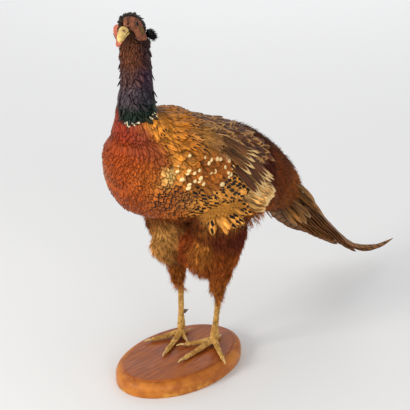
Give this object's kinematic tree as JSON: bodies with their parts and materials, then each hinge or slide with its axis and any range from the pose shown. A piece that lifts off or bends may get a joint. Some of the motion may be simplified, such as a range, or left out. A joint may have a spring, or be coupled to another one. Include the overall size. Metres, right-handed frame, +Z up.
{
  "type": "taxidermy cock pheasant on an oval wooden base",
  "caption": "Mounted cock pheasant standing on both feet on an oval wooden base, head turned to its left, wings folded, long tail sloping down behind.",
  "frame": {"origin": "centre of the oval base's underside", "axes": "+Z up; the bird's breast faces -Y and its tail runs to +Y; +X is the bird's left side"},
  "size_m": [0.1802, 0.6703, 0.5358],
  "materials": {
    "plinth_wood": "varnished, satin gloss, worn at the lower edge",
    "breast_feather": "sleek overlapping feathers, coppery gloss, dark edges",
    "neck_feather": "sleek feathers with a green and violet gloss",
    "head_feather": "short dense feathers, dark with a brown gloss",
    "ear_feather": "short tufts, nearly black",
    "wing_feather": "overlapping feathers, golden brown with pale spots and dark edges",
    "thigh_feather": "loose soft feathers, rusty brown",
    "tail_feather": "long barred feathers, matte",
    "beak_horn": "pale horn, satin",
    "face_skin": "bare skin covered in fine papillae, matte",
    "glass_eye": "polished glass, opaque, dark brown",
    "leg_scales": "dry scaly skin with rows of scutes, satin",
    "claw_horn": "pale horn, satin",
    "spur_horn": "dark horn, satin"
  },
  "bodies": {
    "root": {"beak_lower": "beak_horn", "beak_upper": "beak_horn", "claw_left_hind": "claw_horn", "claw_left_inner": "claw_horn", "claw_left_middle": "claw_horn", "claw_left_outer": "claw_horn", "claw_right_hind": "claw_horn", "claw_right_inner": "claw_horn", "claw_right_middle": "claw_horn", "claw_right_outer": "claw_horn", "ear_tuft_left": "ear_feather", "ear_tuft_right": "ear_feather", "eye_left": "glass_eye", "eye_right": "glass_eye", "foot_left": "leg_scales", "foot_right": "leg_scales", "head": "head_feather", "neck": "neck_feather", "plinth": "plinth_wood", "shank_left": "leg_scales", "shank_right": "leg_scales", "spur_left": "spur_horn", "spur_right": "spur_horn", "tail_1_left": "tail_feather", "tail_1_right": "tail_feather", "tail_2_left": "tail_feather", "tail_2_right": "tail_feather", "tail_3_left": "tail_feather", "tail_3_right": "tail_feather", "tail_4_left": "tail_feather", "tail_4_right": "tail_feather", "tail_5_left": "tail_feather", "tail_5_right": "tail_feather", "thigh_left": "thigh_feather", "thigh_right": "thigh_feather", "trunk": "breast_feather", "wattle_left": "face_skin", "wattle_right": "face_skin", "wing_left": "wing_feather", "wing_right": "wing_feather"}
  },
  "joints": []
}
